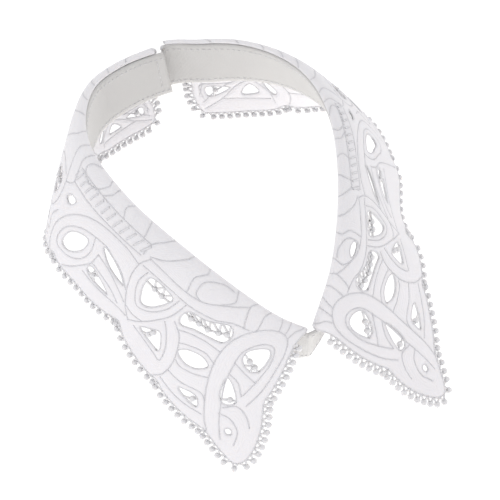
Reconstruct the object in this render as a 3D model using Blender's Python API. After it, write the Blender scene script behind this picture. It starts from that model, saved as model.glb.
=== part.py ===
"""Detachable lace collar in its worn form, with nobody in it.

A narrow cotton neck band closes round the neck and laps over itself at the centre
back. Two lace leaves are sewn to its top edge, roll over it and hang outside it,
from a V at the centre front, through a long point, to a gap at the centre back.
A picot trim runs round the free edges of each leaf.

The tables are in millimetres from the centre front of the band's top edge, with the
wearer facing -Y, +Z up and +X on the wearer's left. The model is in metres, and its
origin is the middle of the neck opening, where the wearer's neck holds it up.
"""
import bmesh
import bpy
import numpy as np

MM = 0.001
NECK_MIDDLE = (0.0, 62.5, 35.0)     # of the opening, from the centre front
SEAM_GAP = 0.4          # between pieces that are sewn together
BAND_WALL = 1.4         # two layers of cotton with their turnings
BAND_HEIGHT = 22.5
LEAF_WALL = 1.2         # corded lace
PICOT_WALL = 1.2
PICOT_REACH = 3.2       # how far the picots stand out from the lace
TAPE_WALL = 1.0
TAPE_LENGTH = 16.0      # along the band
TAPE_HEIGHT = 14.0
TAPE_GAP = 0.3          # between the two tapes
TAPE_LOW = 1.0          # the tapes lie this far below the middle of the band
BAND_BELOW_FOLD = 1.9   # the band's top edge lies this far below the neckline
BAND_OUT_OF_FOLD = 0.7  # and its mid surface this far outside it

# The neckline is the fold, where the leaves roll over the band. "share" runs 0 to 1 from
# the centre front round the wearer's right to the centre back, and on to 2 round the
# wearer's left. "lean" is how far the band slants out, in degrees, as it goes down.
NECK_COLUMNS = ("share", "x", "y", "z", "lean")
NECKLINE = (
    (0.00, 0.0, 0.0, 0.0, -28.0),
    (0.17, -14.6, 1.4, 17.5, -12.0),
    (0.34, -33.1, 21.9, 42.0, 4.0),
    (0.50, -46.6, 53.0, 60.0, 10.0),
    (0.66, -48.6, 85.0, 71.0, 10.0),
    (0.84, -30.2, 114.6, 74.6, 6.0),
    (1.00, 0.0, 125.0, 69.2, 8.0),
    (1.16, 28.4, 112.4, 66.6, 12.0),
    (1.34, 44.4, 82.4, 64.4, 16.0),
    (1.50, 43.6, 51.2, 60.4, 12.0),
    (1.66, 32.8, 23.0, 49.0, 4.0),
    (1.83, 16.6, 4.0, 26.0, -12.0),
    (2.00, 0.0, 0.0, 0.0, -28.0),
)

# How far each leaf's front edge bows out from the straight, and the share it dies in.
FRONT_BOW = {"right": -2.0, "left": 5.0}
FRONT_BOW_SHARE = 0.35

# The reach of the leaf's lower picots, section by section from the front point (0) to
# the back end (1); the lace itself stops at LEAF_END of the way down to it. "roll" is
# how far out the leaf springs from the band, and "belly" how far it rounds out over the
# straight fall from the roll to the edge.
EDGE_COLUMNS = ("share", "x", "y", "z", "roll", "belly")
RIGHT_EDGE = (
    (0.00, -45.4, 0.6, -60.0, 9.5, 3.0),
    (0.17, -64.3, 24.6, -21.6, 8.5, 4.0),
    (0.34, -70.2, 48.2, 5.0, 8.0, 4.0),
    (0.50, -75.0, 62.0, 14.0, 8.0, 4.0),
    (0.66, -78.0, 89.0, 27.0, 7.5, 2.5),
    (0.84, -39.6, 123.0, 26.0, 9.5, 1.5),
    (1.00, -5.4, 138.0, 21.4, 11.0, 3.0),
)
LEFT_EDGE = (
    (0.00, 49.0, -11.3, -60.6, 8.5, 3.0),
    (0.17, 62.2, 25.4, -15.2, 8.5, 4.0),
    (0.34, 63.2, 43.7, -2.8, 8.0, 4.0),
    (0.50, 71.1, 60.0, 8.5, 7.0, 3.0),
    (0.66, 70.0, 89.0, 22.0, 6.5, 0.0),
    (0.84, 39.4, 118.6, 17.2, 6.5, 0.0),
    (1.00, 13.0, 137.0, 16.4, 7.5, 2.0),
)

LEAF_END = 0.93         # of the way down a section, where the lace gives way to picots
PICOT_START = 0.20      # of the way down the two ends, where the picots begin

# Where along the neckline things start and stop, in shares of half the neckline.
HALF_NECKLINE = 200.0   # the length of half the neckline
LEAF_FRONT, LEAF_BACK = 0.022, 0.990
INNER_END = 1.008       # the band's inner end, just past the centre back
OUTER_END = 0.890       # its outer end, tucked under the wearer's right leaf
LAP_INNER_SHIFT = -1.2  # the layers part by these amounts, to let the tapes in
LAP_OUTER_SHIFT = 3.3
LAP_RAMP = 0.09         # share of the neckline over which a layer shifts
LAP_OUTER_DROP = 6.0    # the outer end lies this far below the fold
LAP_DROP_START, LAP_DROP_RAMP = 1.020, 0.022    # where its top edge starts to go down

LEAF_STEPS_ALONG, LEAF_STEPS_DOWN = 44, 10
LEAF_CROWDING = 1.15    # power that crowds the leaf's rows towards the fold
BAND_STEPS_ALONG, BAND_STEPS_DOWN = 76, 2
PICOT_STEPS_END, PICOT_STEPS_EDGE = 8, 52
TAPE_STEPS_ALONG, TAPE_STEPS_DOWN = 6, 2
MITRE_LIMIT = 1.8
NEAR = 0.01             # step in share or drop for reading a direction
SPRING_RISE = 0.15      # how much a roll lifts the leaf above the neckline
FALL_PART = 0.35        # where on the fall the belly pulls

COTTON = ("cotton_band", (0.80, 0.79, 0.78), 0.85)
LACE = ("guipure_lace", (0.84, 0.83, 0.83), 0.80)
TAPE = ("fastening_tape", (0.78, 0.78, 0.77), 0.90)


def smooth(rows, columns, column, share):
    """A column of a table, read between its rows on a smooth curve through them."""
    table = np.array(rows)
    at, value = table[:, 0], table[:, columns.index(column)]
    slope = np.gradient(value, at)
    row = np.clip(np.searchsorted(at, share, side="right") - 1, 0, len(at) - 2)
    step = at[row + 1] - at[row]
    t = (share - at[row]) / step
    return (
        (2 * t**3 - 3 * t**2 + 1) * value[row]
        + (t**3 - 2 * t**2 + t) * step * slope[row]
        + (3 * t**2 - 2 * t**3) * value[row + 1]
        + (t**3 - t**2) * step * slope[row + 1]
    )


def unit(v):
    return v / np.linalg.norm(v, axis=-1, keepdims=True)


def neck(share):
    """Points of the neckline, the level direction that points out from the neck, and
    the direction square to both the neckline and that one, which points up."""
    share = np.asarray(share, float)

    def read(at):
        at = np.clip(at, 0.0, 2.0)
        return np.stack([smooth(NECKLINE, NECK_COLUMNS, c, at) for c in "xyz"], -1)

    along = unit(read(share + NEAR) - read(share - NEAR))
    out = unit(np.stack([-along[..., 1], along[..., 0], 0 * along[..., 0]], -1))
    return read(share), out, np.cross(along, out)


def ramp(value):
    value = np.clip(value, 0.0, 1.0)
    return value * value * (3 - 2 * value)


def inner_layer_shift(share):
    """How far out the band stands on the wearer's right, where its inner end laps."""
    return LAP_INNER_SHIFT * ramp((share - OUTER_END + LAP_RAMP) / LAP_RAMP)


def outer_layer_shift(share):
    """How far out the band stands on the wearer's left, where its outer end laps."""
    return LAP_OUTER_SHIFT * ramp((INNER_END + LAP_RAMP - share) / LAP_RAMP)


def band_face(share, down, shift):
    """Points of the band's mid surface: down is the distance below the top edge, and
    shift moves them outwards."""
    point, out, up = neck(share)
    point = point + out * BAND_OUT_OF_FOLD - up * BAND_BELOW_FOLD
    lean = np.radians(smooth(NECKLINE, NECK_COLUMNS, "lean", np.asarray(share, float)))
    fall = out * np.sin(lean)[..., None]
    fall[..., 2] -= np.cos(lean)
    across = out * np.cos(lean)[..., None]
    across[..., 2] += np.sin(lean)
    return point + fall * np.asarray(down)[..., None] + across * np.asarray(shift)[..., None]


def leaf_section(side, share, drop):
    """Points of a leaf before its front edge is bowed. Each section is a cubic curve:
    it leaves the neckline level, by the roll, and comes down over the belly. drop runs
    0 to 1 down the section, to the reach of the picots."""
    edge_rows = RIGHT_EDGE if side == "right" else LEFT_EDGE
    start, out, up = neck(share if side == "right" else 2.0 - share)
    shift = inner_layer_shift(share) if side == "right" else outer_layer_shift(2.0 - share)
    start = start + out * shift[..., None]
    edge = np.stack([smooth(edge_rows, EDGE_COLUMNS, c, share) for c in "xyz"], -1)
    roll = smooth(edge_rows, EDGE_COLUMNS, "roll", share)[..., None]
    belly = smooth(edge_rows, EDGE_COLUMNS, "belly", share)[..., None]
    sprung = start + out * roll + up * roll * SPRING_RISE
    fallen = edge + (sprung - edge) * FALL_PART + out * belly
    t = np.asarray(drop)[..., None]
    return (
        (1 - t)**3 * start
        + 3 * (1 - t)**2 * t * sprung
        + 3 * (1 - t) * t**2 * fallen
        + t**3 * edge
    )


def leaf_face(side, share, drop):
    """Points of a leaf's mid surface, bowed out along its front edge."""
    share, drop = np.asarray(share, float), np.asarray(drop, float)
    front = leaf_section(side, 0 * share + LEAF_FRONT, drop)
    forward = unit(front - leaf_section(side, 0 * share + FRONT_BOW_SHARE / 2, drop))
    fade = np.clip(1 - share / FRONT_BOW_SHARE, 0.0, 1.0) ** 2
    bow = FRONT_BOW[side] * fade * np.sin(np.pi * drop)
    return leaf_section(side, share, drop) + forward * bow[..., None]


def grid_normals(grid):
    return unit(np.cross(np.gradient(grid, axis=0), np.gradient(grid, axis=1)))


def new_object(name, finish, points, faces):
    """A named object from points in millimetres, closed and facing out."""
    mesh = bpy.data.meshes.new(name)
    mesh.from_pydata(((np.asarray(points) - NECK_MIDDLE) * MM).tolist(), [], faces)
    shape = bmesh.new()
    shape.from_mesh(mesh)
    bmesh.ops.recalc_face_normals(shape, faces=shape.faces)
    bmesh.ops.triangulate(shape, faces=shape.faces)
    shape.to_mesh(mesh)
    shape.free()
    mesh.materials.append(material(*finish))
    thing = bpy.data.objects.new(name, mesh)
    bpy.context.scene.collection.objects.link(thing)
    return thing


def material(name, colour, roughness):
    made = bpy.data.materials.get(name)
    if made is None:
        made = bpy.data.materials.new(name)
        made.use_nodes = True
        shader = made.node_tree.nodes["Principled BSDF"]
        shader.inputs["Base Color"].default_value = (*colour, 1.0)
        shader.inputs["Roughness"].default_value = roughness
        shader.inputs["Metallic"].default_value = 0.0
    return made


def wall(name, finish, grid, thickness):
    """A closed wall of even thickness on a grid of mid points."""
    along, down = grid.shape[:2]
    half = grid_normals(grid) * thickness / 2
    points = np.concatenate([(grid + half).reshape(-1, 3), (grid - half).reshape(-1, 3)])
    under = along * down

    def at(i, j):
        return i * down + j

    faces = []
    for i in range(along - 1):
        for j in range(down - 1):
            quad = (at(i, j), at(i + 1, j), at(i + 1, j + 1), at(i, j + 1))
            faces.append(quad)
            faces.append(tuple(under + k for k in reversed(quad)))
    rim = (
        [at(i, 0) for i in range(along)]
        + [at(along - 1, j) for j in range(1, down)]
        + [at(i, down - 1) for i in range(along - 2, -1, -1)]
        + [at(0, j) for j in range(down - 2, 0, -1)]
    )
    for a, b in zip(rim, rim[1:] + rim[:1]):
        faces.append((b, a, under + a, under + b))
    return new_object(name, finish, points, faces)


def neck_band():
    """One strip, from its inner end past the centre back, round the wearer's right,
    the centre front and the wearer's left, to the outer end that laps over it."""
    length = INNER_END + 2.0 - OUTER_END
    travelled = np.linspace(0.0, length, BAND_STEPS_ALONG + 1)
    front = np.argmin(abs(travelled - INNER_END))
    travelled[front] = INNER_END
    on_right = np.arange(travelled.size) <= front
    share = np.where(on_right, INNER_END - travelled, INNER_END + 2.0 - travelled)
    shift = np.where(on_right, inner_layer_shift(share), outer_layer_shift(share))
    lowered = LAP_OUTER_DROP * ramp((LAP_DROP_START - share) / LAP_DROP_RAMP)
    drop = np.where(on_right, 0.0, lowered)
    part = np.linspace(0.0, 1.0, BAND_STEPS_DOWN + 1)
    down = drop[:, None] + (BAND_HEIGHT - drop[:, None]) * part[None, :]
    shares = np.repeat(share[:, None], part.size, 1)
    grid = band_face(shares, down, np.repeat(shift[:, None], part.size, 1))
    return wall("neck_band", COTTON, grid, BAND_WALL)


def tape(name, shift):
    """A short tape between the two layers of the lap."""
    half_share = TAPE_LENGTH / 2 / HALF_NECKLINE
    middle = (INNER_END + OUTER_END) / 2
    top = (BAND_HEIGHT - TAPE_HEIGHT) / 2 + TAPE_LOW
    share = np.linspace(middle - half_share, middle + half_share, TAPE_STEPS_ALONG + 1)
    down = np.linspace(top, top + TAPE_HEIGHT, TAPE_STEPS_DOWN + 1)
    shares, downs = np.meshgrid(share, down, indexing="ij")
    return wall(name, TAPE, band_face(shares, downs, np.full(shares.shape, shift)), TAPE_WALL)


def leaf(side):
    share = np.linspace(LEAF_FRONT, LEAF_BACK, LEAF_STEPS_ALONG + 1)
    drop = LEAF_END * np.linspace(0.0, 1.0, LEAF_STEPS_DOWN + 1) ** LEAF_CROWDING
    shares, drops = np.meshgrid(share, drop, indexing="ij")
    return wall("leaf_" + side, LACE, leaf_face(side, shares, drops), LEAF_WALL)


def leaf_border(side):
    """The leaf's free border, from the back end's top, along the free edge and up to
    the V at the front, with the leaf's normals there."""
    falling = np.linspace(PICOT_START, LEAF_END, PICOT_STEPS_END + 1)
    rising = falling[::-1][1:]
    edge = np.linspace(LEAF_BACK, LEAF_FRONT, PICOT_STEPS_EDGE + 1)[1:]
    back = np.full(falling.shape, LEAF_BACK)
    front = np.full(rising.shape, LEAF_FRONT)
    share = np.concatenate([back, edge, front])
    drop = np.concatenate([falling, np.full(edge.shape, LEAF_END), rising])
    ahead, behind = np.minimum(share + NEAR, 1.0), np.maximum(share - NEAR, 0.0)
    across = leaf_face(side, ahead, drop) - leaf_face(side, behind, drop)
    down = leaf_face(side, share, drop + NEAR) - leaf_face(side, share, drop - NEAR)
    return leaf_face(side, share, drop), unit(np.cross(across, down))


def picot_edge(side):
    """A flat strip of the picots' reach, a seam's gap out from the lace."""
    path, normal = leaf_border(side)
    step = unit(np.diff(path, axis=0))
    out = unit(np.cross(step, (normal[:-1] + normal[1:]) / 2))
    out = np.concatenate([out[:1], out[:-1] + out[1:], out[-1:]])
    length = np.linalg.norm(out, axis=1, keepdims=True)
    out = out / length
    mitre = np.minimum(2.0 / length, MITRE_LIMIT)
    mitre[0] = mitre[-1] = 1.0
    centre = path + out * mitre * (SEAM_GAP + PICOT_REACH / 2)
    reach = out * mitre * PICOT_REACH / 2
    thick = normal * PICOT_WALL / 2
    inner, outer = centre - reach, centre + reach
    ring = np.stack([inner - thick, inner + thick, outer + thick, outer - thick], 1)
    count = len(path)
    faces = [
        (4 * i + k, 4 * i + (k + 1) % 4, 4 * i + 4 + (k + 1) % 4, 4 * i + 4 + k)
        for i in range(count - 1)
        for k in range(4)
    ]
    faces += [(3, 2, 1, 0), tuple(4 * (count - 1) + k for k in range(4))]
    return new_object("picot_edge_" + side, LACE, ring.reshape(-1, 3), faces)


def main():
    for thing in list(bpy.data.objects):
        bpy.data.objects.remove(thing, do_unlink=True)
    neck_band()
    inner_tape = LAP_INNER_SHIFT + BAND_WALL / 2 + SEAM_GAP + TAPE_WALL / 2
    tape("loop_tape", inner_tape)
    tape("hook_tape", inner_tape + TAPE_WALL + TAPE_GAP)
    for side in ("right", "left"):
        leaf(side)
        picot_edge(side)


main()
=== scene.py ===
# %% [markdown]
# A detachable lace collar, as it sits round a neck with nobody in it. Two leaves of
# corded lace roll over a narrow cotton band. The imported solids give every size. The
# cells below load them, repeat the shape that they were made from, and lay the lace
# on it: cloth with holes, cords along every line, and picots round the free edges.

import bmesh
import bpy
import numpy as np
from mathutils import Matrix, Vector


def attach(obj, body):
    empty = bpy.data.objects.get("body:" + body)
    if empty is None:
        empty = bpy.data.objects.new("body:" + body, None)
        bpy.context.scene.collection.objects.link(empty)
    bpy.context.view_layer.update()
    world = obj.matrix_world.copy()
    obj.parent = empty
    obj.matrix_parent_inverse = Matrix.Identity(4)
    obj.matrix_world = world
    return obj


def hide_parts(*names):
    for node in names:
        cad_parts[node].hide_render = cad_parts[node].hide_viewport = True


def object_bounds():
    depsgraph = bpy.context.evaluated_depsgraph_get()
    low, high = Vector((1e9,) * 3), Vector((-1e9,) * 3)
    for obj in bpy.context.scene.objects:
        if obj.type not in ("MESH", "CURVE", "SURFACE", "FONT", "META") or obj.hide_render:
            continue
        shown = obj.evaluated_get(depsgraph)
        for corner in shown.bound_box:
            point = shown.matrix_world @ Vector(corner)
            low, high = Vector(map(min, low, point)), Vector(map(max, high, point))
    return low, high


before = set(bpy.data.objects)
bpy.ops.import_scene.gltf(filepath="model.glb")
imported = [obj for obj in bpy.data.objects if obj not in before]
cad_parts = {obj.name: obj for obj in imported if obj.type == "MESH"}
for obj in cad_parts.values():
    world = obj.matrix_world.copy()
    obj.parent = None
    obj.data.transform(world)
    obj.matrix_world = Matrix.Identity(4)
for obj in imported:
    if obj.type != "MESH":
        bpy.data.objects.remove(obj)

cad_box = [list(corner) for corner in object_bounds()]
print("nodes:", sorted(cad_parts))

# %% [markdown]
# The camera comes first. It looks down on the front of the collar from the wearer's
# right, and is rolled, so that the collar leans in the picture. A long lens from over
# a metre away keeps the far side of the neck nearly as large as the near side.

# %% Camera
AIM = np.array((-0.0092, -0.0352, -0.0053))
AZIMUTH, ELEVATION, ROLL = np.radians((-14.8, 39.0, -14.5))
DISTANCE, LENS, SENSOR = 1.2, 212.1, 36.0
level = np.array((np.cos(AZIMUTH), np.sin(AZIMUTH), 0.0))
back = np.array((
    np.sin(AZIMUTH) * np.cos(ELEVATION),
    -np.cos(AZIMUTH) * np.cos(ELEVATION),
    np.sin(ELEVATION),
))
above = np.cross(back, level)
camera = bpy.data.objects.new("camera", bpy.data.cameras.new("camera"))
camera.data.lens, camera.data.sensor_width = LENS, SENSOR
pose = np.eye(4)
pose[:3, 0] = level * np.cos(ROLL) + above * np.sin(ROLL)
pose[:3, 1] = above * np.cos(ROLL) - level * np.sin(ROLL)
pose[:3, 2] = back
pose[:3, 3] = AIM + back * DISTANCE
camera.matrix_world = Matrix(pose.tolist())
bpy.context.scene.collection.objects.link(camera)
bpy.context.scene.camera = camera
print("camera at", np.round(pose[:3, 3], 3))

# %% [markdown]
# The solids were made from two short tables, in millimetres from the centre front of
# the fold. The first is the neckline, where the leaves roll over the band. The second
# is where each leaf reaches to. Both are read on smooth curves, so the shape between
# the rows is rounded, as cloth is. "share" is how far round the half neckline a point
# is, from the centre front at 0 to the centre back at 1.

# %% The tables of the neckline and the leaves
MM = 0.001
NECK_MIDDLE = np.array((0.0, 62.5, 35.0))
NECK_COLUMNS = ("share", "x", "y", "z", "lean")
NECKLINE = np.array((
    (0.00, 0.0, 0.0, 0.0, -28.0),
    (0.17, -14.6, 1.4, 17.5, -12.0),
    (0.34, -33.1, 21.9, 42.0, 4.0),
    (0.50, -46.6, 53.0, 60.0, 10.0),
    (0.66, -48.6, 85.0, 71.0, 10.0),
    (0.84, -30.2, 114.6, 74.6, 6.0),
    (1.00, 0.0, 125.0, 69.2, 8.0),
    (1.16, 28.4, 112.4, 66.6, 12.0),
    (1.34, 44.4, 82.4, 64.4, 16.0),
    (1.50, 43.6, 51.2, 60.4, 12.0),
    (1.66, 32.8, 23.0, 49.0, 4.0),
    (1.83, 16.6, 4.0, 26.0, -12.0),
    (2.00, 0.0, 0.0, 0.0, -28.0),
))
EDGE_COLUMNS = ("share", "x", "y", "z", "roll", "belly")
LEAF_EDGE = {
    "right": np.array((
        (0.00, -45.4, 0.6, -60.0, 9.5, 3.0),
        (0.17, -64.3, 24.6, -21.6, 8.5, 4.0),
        (0.34, -70.2, 48.2, 5.0, 8.0, 4.0),
        (0.50, -75.0, 62.0, 14.0, 8.0, 4.0),
        (0.66, -78.0, 89.0, 27.0, 7.5, 2.5),
        (0.84, -39.6, 123.0, 26.0, 9.5, 1.5),
        (1.00, -5.4, 138.0, 21.4, 11.0, 3.0),
    )),
    "left": np.array((
        (0.00, 49.0, -11.3, -60.6, 8.5, 3.0),
        (0.17, 62.2, 25.4, -15.2, 8.5, 4.0),
        (0.34, 63.2, 43.7, -2.8, 8.0, 4.0),
        (0.50, 71.1, 60.0, 8.5, 7.0, 3.0),
        (0.66, 70.0, 89.0, 22.0, 6.5, 0.0),
        (0.84, 39.4, 118.6, 17.2, 6.5, 0.0),
        (1.00, 13.0, 137.0, 16.4, 7.5, 2.0),
    )),
}
FRONT_BOW = {"right": -2.0, "left": 5.0}
FRONT_BOW_SHARE, LEAF_FRONT = 0.35, 0.022
SPRING_RISE, FALL_PART, NEAR = 0.15, 0.35, 0.01
INNER_END, OUTER_END = 1.008, 0.890
LAP_INNER_SHIFT, LAP_OUTER_SHIFT, LAP_RAMP = -1.2, 3.3, 0.09
LAP_OUTER_DROP, LAP_DROP_START, LAP_DROP_RAMP = 6.0, 1.020, 0.022
BAND_HEIGHT, BAND_WALL, BAND_BELOW_FOLD, BAND_OUT_OF_FOLD = 22.5, 1.4, 1.9, 0.7
print("leaf rows:", {side: len(rows) for side, rows in LEAF_EDGE.items()})


# %% Read a table on a smooth curve
def smooth(table, columns, column, share):
    """Cubic Hermite curve through a column, with the slopes of its neighbours."""
    at, value = table[:, 0], table[:, columns.index(column)]
    slope = np.gradient(value, at)
    row = np.clip(np.searchsorted(at, share, side="right") - 1, 0, len(at) - 2)
    step = at[row + 1] - at[row]
    t = (share - at[row]) / step
    return (
        (2 * t**3 - 3 * t**2 + 1) * value[row]
        + (t**3 - 2 * t**2 + t) * step * slope[row]
        + (3 * t**2 - 2 * t**3) * value[row + 1]
        + (t**3 - t**2) * step * slope[row + 1]
    )


def unit(v):
    return v / np.maximum(np.linalg.norm(v, axis=-1, keepdims=True), 1e-9)


def ramp(value):
    """0 below 0, 1 above 1, and 3v^2 - 2v^3 between."""
    value = np.clip(value, 0.0, 1.0)
    return value * value * (3 - 2 * value)


# %% The neckline and the band's face
def neck(share):
    """Points of the neckline, with the level direction out of it and the one that is
    square to both, upwards."""
    def read(at):
        at = np.clip(at, 0.0, 2.0)
        return np.stack([smooth(NECKLINE, NECK_COLUMNS, c, at) for c in "xyz"], -1)

    along = unit(read(share + NEAR) - read(share - NEAR))
    out = unit(np.stack([-along[..., 1], along[..., 0], 0 * along[..., 0]], -1))
    return read(share), out, np.cross(along, out)


def inner_layer_shift(share):
    return LAP_INNER_SHIFT * ramp((share - OUTER_END + LAP_RAMP) / LAP_RAMP)


def outer_layer_shift(share):
    return LAP_OUTER_SHIFT * ramp((INNER_END + LAP_RAMP - share) / LAP_RAMP)


def band_face(share, down, shift):
    """The neckline, moved down the band's slant by down and square to it by shift."""
    point, out, up = neck(share)
    point = point + out * BAND_OUT_OF_FOLD - up * BAND_BELOW_FOLD
    lean = np.radians(smooth(NECKLINE, NECK_COLUMNS, "lean", share))
    fall = out * np.sin(lean)[..., None]
    fall[..., 2] -= np.cos(lean)
    across = out * np.cos(lean)[..., None]
    across[..., 2] += np.sin(lean)
    return point + fall * down[..., None] + across * shift[..., None]


print("neckline box:", np.round(neck(np.linspace(0, 2, 99))[0].min(0), 1))


# %% [markdown]
# Each leaf is a surface of two parameters. Every section is a cubic curve that leaves
# the neckline level, rolls over and comes down to the leaf's reach. "drop" is how far
# down the section a point is. Everything on the lace is drawn in share and drop, and
# this function carries it into space, so the pattern rolls and spreads with the leaf.

# %% The leaf's surface
def leaf_section(side, share, drop):
    """(1-t)^3 start + 3(1-t)^2 t sprung + 3(1-t) t^2 fallen + t^3 edge, with t = drop."""
    rows = LEAF_EDGE[side]
    start, out, up = neck(share if side == "right" else 2.0 - share)
    shift = inner_layer_shift(share) if side == "right" else outer_layer_shift(2.0 - share)
    start = start + out * shift[..., None]
    edge = np.stack([smooth(rows, EDGE_COLUMNS, c, share) for c in "xyz"], -1)
    roll = smooth(rows, EDGE_COLUMNS, "roll", share)[..., None]
    belly = smooth(rows, EDGE_COLUMNS, "belly", share)[..., None]
    sprung = start + out * roll + up * roll * SPRING_RISE
    fallen = edge + (sprung - edge) * FALL_PART + out * belly
    t = drop[..., None]
    return (
        (1 - t)**3 * start
        + 3 * (1 - t)**2 * t * sprung
        + 3 * (1 - t) * t**2 * fallen
        + t**3 * edge
    )


def leaf_face(side, share, drop):
    """The section, bowed along the leaf's front edge by a sine of the drop."""
    front = leaf_section(side, 0 * share + LEAF_FRONT, drop)
    forward = unit(front - leaf_section(side, 0 * share + FRONT_BOW_SHARE / 2, drop))
    fade = np.clip(1 - share / FRONT_BOW_SHARE, 0.0, 1.0) ** 2
    bow = FRONT_BOW[side] * fade * np.sin(np.pi * drop)
    return leaf_section(side, share, drop) + forward * bow[..., None]


FACING = {"right": 1.0, "left": -1.0}
PUFF, PUFF_BACK, PUFF_DROP = 0.5, 0.9, 0.42     # the roll stands up by this much, in mm
PUFF_BACK_FROM, PUFF_BACK_RAMP = 0.6, 0.3       # the share where it starts to grow, and over what
RIPPLE, RIPPLE_DROP = 0.45, 0.8
RIPPLES = ((11.0, 0.4, 0.5), (23.0, 1.9, 0.3), (41.0, 4.0, 0.2))    # waves, phase, part


def cloth_face(side, share, drop):
    """The leaf's surface, with a sine puff over the roll and soft ripples that fade
    down the leaf: the sum of a few sines of the share."""
    point = leaf_face(side, share, drop)
    wave = sum(part * np.sin(waves * share + phase) for waves, phase, part in RIPPLES)
    height = PUFF + PUFF_BACK * ramp((share - PUFF_BACK_FROM) / PUFF_BACK_RAMP)
    puff = height * np.sin(np.pi * np.clip(drop / PUFF_DROP, 0, 1))
    point[..., 2] += puff + RIPPLE * wave * np.sin(np.pi * np.clip(drop / RIPPLE_DROP, 0, 1))
    return point


def leaf_place(side, place):
    """The point of the leaf at each (share, drop), and the way out of the lace there:
    the cross product of the directions down and along the leaf."""
    share, drop = place[..., 0], place[..., 1]
    along = cloth_face(side, share + NEAR, drop) - cloth_face(side, share - NEAR, drop)
    down = cloth_face(side, share, drop + NEAR) - cloth_face(side, share, drop - NEAR)
    return cloth_face(side, share, drop), unit(np.cross(along, down)) * FACING[side]


for side in FACING:
    probe = np.array(((0.5, 0.6),))
    at, facing = leaf_place(side, probe)
    if facing[0] @ (at[0] - NECK_MIDDLE) < 0:
        FACING[side] = -FACING[side]
print("leaves face out with", FACING)

# %% [markdown]
# The pattern is a tape lace. A woven tape a few millimetres wide, with a cord down
# each edge, loops and crosses over the leaf, and open places are left between the
# loops. It is written down as the open places and the cords, in hundredths of share
# and drop, and read on round curves. The far side of each leaf goes on in the same
# manner.

# %% The open places between the tapes
HOLES = {
    "front_loop": (
        (8.9, 50), (9.2, 41), (10.6, 36.5), (12.6, 37.5),
        (14.2, 42), (14, 47), (12.6, 51), (10.4, 53),
    ),
    "front_point": ((8.3, 70.5), (10.2, 65.5), (12.9, 61.5), (12.4, 67), (10.9, 73.5), (9.2, 74.5)),
    "tip_eyelet": ((5.2, 84.5), (5.9, 82.6), (6.6, 84.5), (5.9, 86.4)),
    "oval": ((16.9, 62), (19.2, 59.8), (21.8, 63), (22.4, 68), (20, 70), (17.8, 67.5)),
    "edge_triangle": ((12.4, 85), (14.2, 79.8), (17, 82.6), (15, 85)),
    "chain": (
        (18.9, 46), (18.8, 39), (20.4, 34.5), (22.2, 37.5), (24.2, 41.8),
        (27.1, 44.3), (27.5, 50), (26.3, 55), (24, 51.5), (21.5, 49),
    ),
    "valley": ((24.6, 77.6), (25.6, 72), (27.3, 68), (28.8, 71.5), (30, 77)),
    "drop": (
        (30.9, 46), (33, 43.6), (36.4, 43.5), (37, 48.5),
        (36, 57), (34.2, 63.6), (32.4, 61.5), (31.2, 54),
    ),
    "slit_upper": ((39.9, 62.6), (43.4, 54.4), (47.6, 49.6), (48.2, 52.4), (45, 59.2)),
    "slit_lower": ((41.8, 76.6), (46, 70.4), (49.3, 68.4), (50.4, 73.5), (47.5, 76.4)),
    "eye": ((52.6, 56), (55.3, 58.5), (57.7, 65), (58.8, 75), (56.8, 76), (54, 69), (52.6, 62)),
    "fold_lens": ((25.6, 25.4), (27.4, 23.4), (29, 27), (28.8, 32), (27, 31.4), (25.6, 28.8)),
    "cheek": ((58.6, 44.5), (60.2, 44), (61.6, 48.5), (60.8, 51), (59.4, 49.5)),
    "side_loop": ((65.2, 48), (67.2, 44), (69.4, 49), (69.3, 58), (67, 62), (65.5, 56)),
    "side_valley": ((66, 78), (67.6, 71), (69.6, 77), (68, 79.5)),
    "side_drop": ((74, 46), (76.5, 44), (78.6, 48), (78, 57), (76.2, 63), (74.6, 57)),
    "side_slit": ((80, 70), (82.2, 60), (84.4, 55), (84, 62), (81.6, 71.5)),
    "back_triangle": ((88, 80), (89.2, 74.5), (91.2, 80.5), (89.6, 81.5)),
    "back_corner": ((92.6, 76), (96.2, 74), (96.9, 80.5), (95.2, 80.5)),
    "side_lens": ((74.6, 80.6), (77, 78.2), (81.2, 80), (79, 82.8), (76, 83)),
    "back_slit": ((85.2, 81), (85.9, 76), (86.8, 73.4), (86.7, 78), (85.9, 82.6)),
    "back_loop": ((88.6, 50), (90.6, 44), (93, 48), (93, 58), (90.8, 62), (89, 57)),
}
ONLY_ON = {"fold_lens": "left"}     # on the other leaf the tapes close this place
print(len(HOLES), "open places")

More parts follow.
